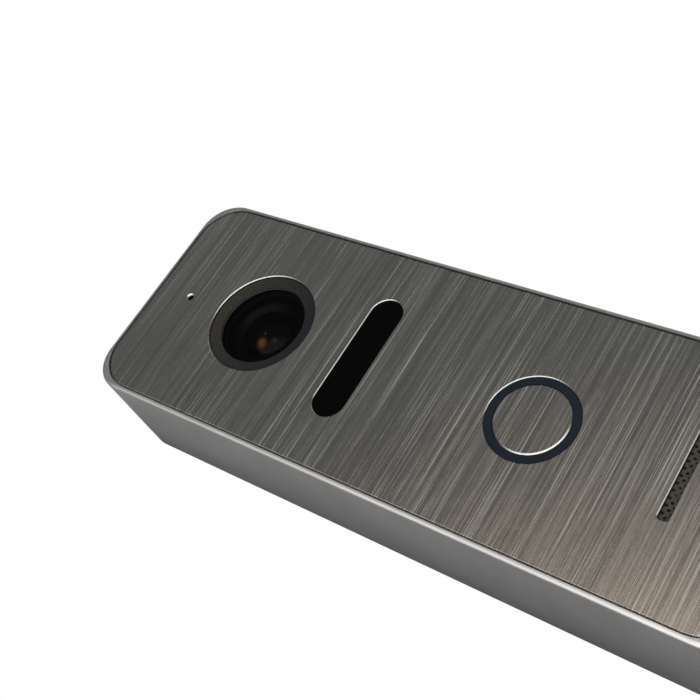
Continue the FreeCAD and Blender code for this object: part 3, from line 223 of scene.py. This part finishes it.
def moulded(name, colour, roughness, grain=2.2, depth=0.012, clouds=0.2, edge_wear_and_highlight=0.5, coat=0.0):
    """Moulded plastic or rubber: fine spark texture, cloudy tone, paler edges that are partly worn and partly a
    painted edge highlight.
    """
    paint = Paint(name, Specular_IOR_Level=0.45)
    cloud = paint.noise(clouds, detail=3.0)
    speckle = paint.noise(grain, detail=3.0, rough=0.6)
    tone = paint.maths("ADD", paint.spread(cloud, 0.2, 0.8, 0.86, 1.1), paint.spread(speckle, 0.2, 0.8, -0.08, 0.08))
    # Paler edges: partly worn, partly a painted edge highlight.
    tone = paint.maths("MULTIPLY_ADD", paint.edges(0.12), edge_wear_and_highlight, tone)
    paint.drive(Base_Color=paint.brighten(colour, tone), Coat_Weight=coat,
                Roughness=paint.spread(speckle, 0.2, 0.8, roughness - 0.07, roughness + 0.07),
                Normal=paint.bump(speckle, depth, 0.6))
    return paint


def gloss(name, colour, roughness, tint=None, dust=0.02, shine=0.5):
    """Polished plastic: nearly smooth, with a faint ripple, dust and fine wipe marks."""
    paint = Paint(name, Specular_IOR_Level=shine)
    ripple = paint.noise(0.25, detail=1.0)
    wipe = paint.noise((0.4, 0.4, 4.0), detail=2.0, turn=(0, 0.5, 0))
    specks = paint.spread(paint.noise(3.3, detail=1.0), 0.74, 0.8, 0.0, dust)
    body = paint.mix(paint.spread(ripple, 0.2, 0.8), colour, tint or colour)
    paint.drive(Base_Color=paint.mix(specks, body, grey(0.5)),
                Roughness=paint.spread(wipe, 0.3, 0.8, roughness, roughness + 0.06),
                Normal=paint.bump(ripple, 0.01, 0.2))
    return paint


def foam(name, colour):
    """Closed-cell foam: small pits."""
    paint = Paint(name, Roughness=0.95, Specular_IOR_Level=0.2)
    cells = paint.add("TexVoronoi", Vector=paint.millimetres(), Scale=4.0).outputs["Distance"]
    paint.drive(Base_Color=paint.brighten(colour, paint.spread(cells, 0.0, 0.7, 1.2, 0.6)),
                Normal=paint.bump(cells, 0.08, 0.8))
    return paint


# ---- glass ----

def pane(name, tint, index, roughness=0.02):
    """Thin coated glass that lets light straight through and mirrors the room faintly."""
    paint = Paint(name)
    tree = paint.tree
    smear = paint.noise(0.5, detail=3.0)
    clear = paint.add("BsdfTransparent", Color=tint)
    mirror = paint.add("BsdfGlossy", Color=grey(1.0), Roughness=paint.spread(smear, 0.4, 0.8, roughness, roughness + 0.05))
    ripple = paint.bump(smear, 0.003, 0.1)
    tree.links.new(ripple, mirror.inputs["Normal"])
    fresnel = paint.add("Fresnel", IOR=index)
    blend = paint.add("MixShader")
    tree.links.new(fresnel.outputs["Fac"], blend.inputs["Fac"])
    tree.links.new(clear.outputs["BSDF"], blend.inputs[1])
    tree.links.new(mirror.outputs["BSDF"], blend.inputs[2])
    tree.links.new(blend.outputs["Shader"], paint.output.inputs["Surface"])
    tree.nodes.remove(paint.shader)
    return paint


def coated_glass(name, colour, reflection):
    """Lens glass with a coloured coating: dark inside, tinted where it mirrors."""
    paint = Paint(name, Roughness=0.04, Specular_IOR_Level=0.5, Coat_Weight=0.6, Coat_Roughness=0.03)
    rings = paint.noise(0.5, detail=1.0)
    paint.drive(Base_Color=paint.mix(paint.spread(rings, 0.3, 0.7), colour, reflection),
                Specular_Tint=reflection, Normal=paint.bump(rings, 0.004, 0.1))
    return paint


def off_centre(paint, low, high, across, up, radius):
    """A soft spot: 1 at a place away from the middle of a box in X and Z, fading out over the radius (mm)."""
    middle = (low + high) / (2 * MM)
    distance = paint.add("VectorMath", {"operation": "DISTANCE"})
    flat = paint.add("VectorMath", {"operation": "MULTIPLY"})
    paint.tree.links.new(paint.millimetres(), flat.inputs[0])
    flat.inputs[1].default_value = (1, 0, 1)
    paint.tree.links.new(flat.outputs["Vector"], distance.inputs[0])
    distance.inputs[1].default_value = (middle.x + across, 0, middle.z + up)
    return paint.spread(distance.outputs["Value"], 0.0, radius, 1.0, 0.0)


def lens_with_painted_glints(name):
    """The outer lens: black glass with a painted amber reflection and a small painted pale highlight, both given off
    as emission though the lens is no lamp.
    """
    paint = coated_glass(name, rgb(0.002, 0.002, 0.004), rgb(0.02, 0.01, 0.004))
    low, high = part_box("lens_front_element")
    # Painted reflections: an amber spot and a small pale spot, given off as emission.
    amber = off_centre(paint, low, high, -2.3, 0.1, 1.5)
    pale = off_centre(paint, low, high, -0.4, 0.4, 0.35)
    glint = paint.mix(amber, grey(0.0), rgb(0.24, 0.10, 0.02))
    paint.drive(Emission_Color=paint.mix(pale, glint, rgb(0.10, 0.11, 0.13)), Emission_Strength=1.0)
    return paint


def bezel_black_painted_shade(name):
    """Satin black ring with painted shading: warmer and paler towards the top of the panel, bluer and darker towards
    the bottom.
    """
    paint = Paint(name, Specular_IOR_Level=0.35)
    low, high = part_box("camera_bezel")
    # Painted shading: blue-black at the bottom of the ring up to warm dark grey at the top.
    height = paint.spread(paint.along("Z"), low.z / MM, high.z / MM, smooth=False)
    grain = paint.noise(3.0)
    colour = paint.mix(height, rgb(0.0035, 0.006, 0.009), rgb(0.026, 0.023, 0.018))
    paint.drive(Base_Color=paint.mix(paint.spread(grain, 0.3, 0.8, 0.0, 0.15), colour, grey(0.03)),
                Roughness=paint.spread(grain, 0.2, 0.8, 0.20, 0.30), Normal=paint.bump(grain, 0.004, 0.3))
    return paint


# ---- electronics ----

def circuit_board(name):
    """Green board: copper tracks and ground areas under the solder mask, plated holes and a fine weave."""
    paint = Paint(name, Roughness=0.32, Specular_IOR_Level=0.55, Coat_Weight=0.3)
    flat = paint.millimetres((1, 0.001, 1))
    tracks = paint.add("TexBrick", Vector=flat, Scale=0.55, Mortar_Size=0.035, Mortar_Smooth=0.1).outputs["Fac"]
    cells = paint.add("TexVoronoi", {"distance": "CHEBYCHEV", "feature": "F1"}, Vector=flat, Scale=0.32)
    ground = paint.spread(cells.outputs["Distance"], 0.30, 0.31)
    holes = paint.add("TexVoronoi", Vector=flat, Scale=0.42).outputs["Distance"]
    hole = paint.spread(holes, 0.14, 0.11)
    colour = paint.mix(ground, rgb(0.010, 0.115, 0.045), rgb(0.016, 0.165, 0.065))
    colour = paint.mix(paint.maths("MULTIPLY", tracks, 0.7), colour, rgb(0.03, 0.26, 0.10))
    colour = paint.mix(hole, colour, rgb(0.72, 0.60, 0.33))
    weave = paint.noise(6.0, detail=1.0)
    height = paint.maths("ADD", paint.maths("MULTIPLY", tracks, 0.6), paint.maths("MULTIPLY", weave, 0.2))
    paint.drive(Base_Color=colour, Metallic=hole, Normal=paint.bump(height, 0.03, 0.5))
    return paint


def wires(name, colours, step):
    """Plastic sleeves, one colour after another across the panel."""
    paint = Paint(name, Roughness=0.38, Specular_IOR_Level=0.5, Coat_Weight=0.2)
    across = paint.maths("DIVIDE", paint.along("X"), step)
    place = paint.maths("FLOORED_MODULO", paint.maths("FLOOR", across), float(len(colours)))
    colour = colours[0]
    for index, next_colour in enumerate(colours[1:], 1):
        colour = paint.mix(paint.maths("COMPARE", place, float(index), 0.4), colour, next_colour)
    speckle = paint.noise(4.0)
    shade = paint.mix(paint.spread(speckle, 0.3, 0.8, 0.0, 0.12), colour, grey(0.4))
    paint.drive(Base_Color=shade, Normal=paint.bump(speckle, 0.01, 0.3))
    return paint


def light_diode(name):
    """Clear resin over a yellow die on a pale body."""
    paint = Paint(name, Roughness=0.2, Coat_Weight=0.6)
    cells = paint.noise(0.9, detail=1.0)
    paint.drive(Base_Color=paint.mix(paint.spread(cells, 0.45, 0.55), rgb(0.82, 0.79, 0.66), rgb(0.86, 0.62, 0.16)),
                Normal=paint.bump(cells, 0.02, 0.3))
    return paint


FINISHES = {
    "satin_alloy": satin_metal("satin_alloy", grey(0.50), 0.42),
    "brushed_plate": brushed("brushed_plate", rgb(0.42, 0.43, 0.415), 0.24),
    "gloss_black": gloss("gloss_black", grey(0.0015), 0.06, dust=0.004, shine=0.06),
    "smoked_ring": gloss("smoked_ring", rgb(0.008, 0.011, 0.017), 0.2, tint=rgb(0.010, 0.013, 0.02), shine=0.3),
    "clear_window": pane("clear_window", rgb(0.6, 0.62, 0.65), 1.15),
    "lens_glass": coated_glass("lens_glass", rgb(0.002, 0.002, 0.004), rgb(0.02, 0.01, 0.004)),
    "filter_glass": coated_glass("filter_glass", rgb(0.12, 0.03, 0.05), rgb(0.7, 0.3, 0.4)),
    "black_plastic": moulded("black_plastic", grey(0.018), 0.5),
    "rubber": moulded("rubber", grey(0.022), 0.75, grain=3.5, depth=0.02, edge_wear_and_highlight=0.3),
    "adhesive": moulded("adhesive", grey(0.10), 0.6, edge_wear_and_highlight=0.1),
    "zinc_steel": satin_metal("zinc_steel", rgb(0.62, 0.63, 0.64), 0.34, grain=1.2, depth=0.006),
    "screw_steel": satin_metal("screw_steel", rgb(0.58, 0.58, 0.57), 0.28, grain=3.0, depth=0.004),
    "circuit_board": circuit_board("circuit_board"),
    "chip_black": moulded("chip_black", grey(0.03), 0.55, grain=5.0, depth=0.006),
    "relay_case": moulded("relay_case", rgb(0.03, 0.09, 0.30), 0.3, depth=0.004, coat=0.3),
    "capacitor_can": satin_metal("capacitor_can", rgb(0.7, 0.7, 0.72), 0.25, depth=0.003),
    "connector_white": moulded("connector_white", rgb(0.72, 0.70, 0.62), 0.45, depth=0.006, edge_wear_and_highlight=0.1),
    "led_clear": light_diode("led_clear"),
    "sensor_die": gloss("sensor_die", rgb(0.03, 0.03, 0.06), 0.1, tint=rgb(0.10, 0.06, 0.12)),
    "mesh_black": satin_metal("mesh_black", rgb(0.055, 0.052, 0.042), 0.45, grain=4.0, metallic=0.3),
    "cone_film": moulded("cone_film", rgb(0.30, 0.28, 0.22), 0.4, coat=0.2),
    "copper": wound_copper("copper"),
    "magnet_plate": satin_metal("magnet_plate", rgb(0.62, 0.62, 0.63), 0.2, depth=0.003),
    "capsule_can": satin_metal("capsule_can", rgb(0.66, 0.66, 0.66), 0.25, depth=0.003),
    "ribbon_film": gloss("ribbon_film", rgb(0.5, 0.28, 0.06), 0.3, tint=rgb(0.6, 0.36, 0.1)),
    "wire_sleeve": wires("wire_sleeve", [rgb(0.5, 0.03, 0.02), grey(0.02), rgb(0.6, 0.5, 0.03), grey(0.7)], 1.2),
}
FOAM = foam("foam", grey(0.05))
BARREL = gloss("lens_barrel", grey(0.003), 0.35, dust=0.0, shine=0.2)
# Camera ring with painted shading from bottom to top.
PAINTED_SHADE_BEZEL = bezel_black_painted_shade("camera_bezel")
INNER_GLASS = coated_glass("inner_glass", rgb(0.03, 0.010, 0.002), rgb(0.15, 0.06, 0.01))
# Outer lens with painted glints that glow by emission.
PAINTED_GLINT_LENS = lens_with_painted_glints("front_lens")
SPECIAL = {
    "speaker_foam": FOAM,
    "wall_seal": FOAM,
    "lens_barrel": BARREL,
    "camera_bezel": PAINTED_SHADE_BEZEL,
    "lens_rear_element": INNER_GLASS,
    "lens_front_element": PAINTED_GLINT_LENS,
}


def paint_nodes():
    """Give each CAD node the finish of its material slot."""
    for part in frame["record"]["subparts"]:
        node = nodes[part["node"]]
        paint = SPECIAL.get(part["node"], FINISHES[part["material_slot"]])
        node.data.materials.clear()
        node.data.materials.append(paint.material)


# ---- studio ----

LIGHT_FROM = Vector((-0.6, -0.3, -0.5)).normalized()
SKY = (  # place along the direction of the light, strength, colour
    (-1.00, 0.20, (0.97, 1.00, 1.00)),
    (-0.42, 0.19, (0.97, 1.00, 0.97)),
    (-0.20, 0.11, (0.98, 1.00, 1.00)),
    (0.00, 0.13, (1.00, 0.99, 0.98)),
    (0.15, 0.45, (1.00, 0.97, 0.94)),
    (0.35, 1.50, (1.00, 0.98, 0.96)),
    (0.60, 2.20, (1.00, 1.00, 1.00)),
    (1.00, 2.40, (1.00, 1.00, 1.00)),
)
SKY_STRENGTH = 2.5
GLOW_FROM = Vector((0.07, -0.98, 0.12)).normalized()
GLOW_COLOUR = rgb(1.0, 0.74, 0.56)
GLOW_STRENGTH = 5.0
GLOW_SHARPNESS = 110
BACK_LIGHT_FROM = Vector((0.6, 0.75, 0.25)).normalized()


def make_world():
    """White behind the object, and a soft light from the panel's lower left that fades to grey."""
    world = bpy.data.worlds.new("studio")
    bpy.context.scene.world = world
    world.use_nodes = True
    tree = world.node_tree
    tree.nodes.clear()

    def add(kind, **settings):
        node = tree.nodes.new("ShaderNode" + kind)
        for name, value in settings.items():
            setattr(node, name, value)
        return node

    def towards(direction):
        """From -1 facing away from the direction to 1 facing it."""
        dot = add("VectorMath", operation="DOT_PRODUCT")
        tree.links.new(add("TexCoord").outputs["Generated"], dot.inputs[0])
        dot.inputs[1].default_value = direction
        return dot.outputs["Value"]

    def share_of_light(direction):
        """From 0 facing away from the direction to 1 facing it."""
        return maths("MULTIPLY_ADD", towards(direction), 0.5, 0.5)

    def maths(operation, *values):
        node = add("Math", operation=operation)
        for socket, value in zip(node.inputs, values):
            if isinstance(value, bpy.types.NodeSocket):
                tree.links.new(value, socket)
            else:
                socket.default_value = value
        return node.outputs["Value"]

    def plus(first, second):
        """The sum of two colours."""
        node = add("Mix", data_type="RGBA", blend_type="ADD")
        node.inputs["Factor"].default_value = 1.0
        tree.links.new(first, node.inputs[6])
        tree.links.new(second, node.inputs[7])
        return node.outputs[2]

    ramp = add("ValToRGB")
    ramp.color_ramp.interpolation = "EASE"
    stops = ramp.color_ramp.elements
    while len(stops) < len(SKY):
        stops.new(0.5)
    for stop, (place, strength, colour) in zip(stops, SKY):
        stop.position = (place + 1) / 2
        stop.color = [value * strength / SKY_STRENGTH for value in colour] + [1.0]
    tree.links.new(share_of_light(LIGHT_FROM), ramp.inputs["Fac"])
    back = add("MapRange", interpolation_type="SMOOTHSTEP")
    tree.links.new(share_of_light(BACK_LIGHT_FROM), back.inputs["Value"])
    back.inputs["From Min"].default_value = 0.55
    back.inputs["From Max"].default_value = 1.0
    back.inputs["To Max"].default_value = 0.4
    fade = maths("MULTIPLY_ADD", towards(GLOW_FROM), GLOW_SHARPNESS, -GLOW_SHARPNESS)
    glow = add("Mix", data_type="RGBA")
    tree.links.new(maths("EXPONENT", fade), glow.inputs["Factor"])
    glow.inputs[6].default_value = grey(0.0)
    glow.inputs[7].default_value = [value * GLOW_STRENGTH / SKY_STRENGTH for value in GLOW_COLOUR[:3]] + [1.0]
    room = add("Background")
    room.inputs["Strength"].default_value = SKY_STRENGTH
    light = plus(plus(ramp.outputs["Color"], back.outputs["Result"]), glow.outputs[2])
    tree.links.new(light, room.inputs["Color"])
    white = add("Background")
    white.inputs["Color"].default_value = grey(1.0)
    blend = add("MixShader")
    tree.links.new(add("LightPath").outputs["Is Camera Ray"], blend.inputs["Fac"])
    tree.links.new(room.outputs["Background"], blend.inputs[1])
    tree.links.new(white.outputs["Background"], blend.inputs[2])
    tree.links.new(blend.outputs["Shader"], add("OutputWorld").inputs["Surface"])


def floor_material():
    """Pale: white to the camera, lit grey in reflections with a painted contact shadow that darkens it beside the
    panel, and clear from behind.
    """
    paint = Paint("pale_floor")
    tree = paint.tree
    low, high = cad_box
    beside = paint.maths("SUBTRACT", paint.maths("ABSOLUTE", paint.along("X")), high.x / MM)
    beyond = paint.maths("SUBTRACT", paint.maths("ABSOLUTE", paint.along("Z")), high.z / MM)
    # Painted contact shadow: the grey darkens towards the panel's outline.
    shade = paint.spread(paint.maths("MAXIMUM", beside, beyond), -2.0, 16.0, 0.04, 0.24)
    lit = paint.add("BsdfDiffuse", Color=paint.brighten(grey(1.0), shade))
    white = paint.add("Emission", Color=grey(1.0), Strength=1.0)
    clear = paint.add("BsdfTransparent")
    seen, side = paint.add("MixShader"), paint.add("MixShader")
    tree.links.new(paint.add("LightPath").outputs["Is Camera Ray"], seen.inputs["Fac"])
    tree.links.new(lit.outputs["BSDF"], seen.inputs[1])
    tree.links.new(white.outputs["Emission"], seen.inputs[2])
    tree.links.new(paint.add("NewGeometry").outputs["Backfacing"], side.inputs["Fac"])
    tree.links.new(seen.outputs["Shader"], side.inputs[1])
    tree.links.new(clear.outputs["BSDF"], side.inputs[2])
    tree.links.new(side.outputs["Shader"], paint.output.inputs["Surface"])
    tree.nodes.remove(paint.shader)
    return paint.material


def make_floor():
    """The pale surface that the panel lies on, left open right behind the panel so that its back gets light."""
    low, high = cad_box
    level, reach = high.y + 1 * MM, 0.5
    inner = [(low.x, low.z), (high.x, low.z), (high.x, high.z), (low.x, high.z)]
    outer = [(-reach, -reach), (reach, -reach), (reach, reach), (-reach, reach)]
    corners = [(x, level, z) for x, z in inner + outer]
    faces = [(4 + i, 4 + (i + 1) % 4, (i + 1) % 4, i) for i in range(4)]
    mesh = bpy.data.meshes.new("floor")
    mesh.from_pydata(corners, [], faces)
    floor = bpy.data.objects.new("floor", mesh)
    floor.data.materials.append(floor_material())
    bpy.context.scene.collection.objects.link(floor)


def make_camera():
    """The view from below and to the left of the panel."""
    data = bpy.data.cameras.new("camera")
    data.sensor_width = 36
    data.lens = 57.8
    data.clip_start, data.clip_end = 0.01, 10
    camera = bpy.data.objects.new("camera", data)
    forward = Vector((0.3415, 0.7557, 0.5588)).normalized()
    right = Vector((0.5219, 0.342, -0.7814))
    right = (right - forward * right.dot(forward)).normalized()
    up = right.cross(forward)
    turn = Matrix((right, up, -forward)).transposed().to_4x4()
    camera.matrix_world = Matrix.Translation(Vector((-66.68, -171.53, -94.41)) * MM) @ turn
    bpy.context.scene.collection.objects.link(camera)
    bpy.context.scene.camera = camera


def make_studio():
    scene = bpy.context.scene
    scene.view_settings.view_transform = "Standard"
    scene.view_settings.look = "None"
    make_world()
    make_floor()
    make_camera()


paint_nodes()
make_studio()
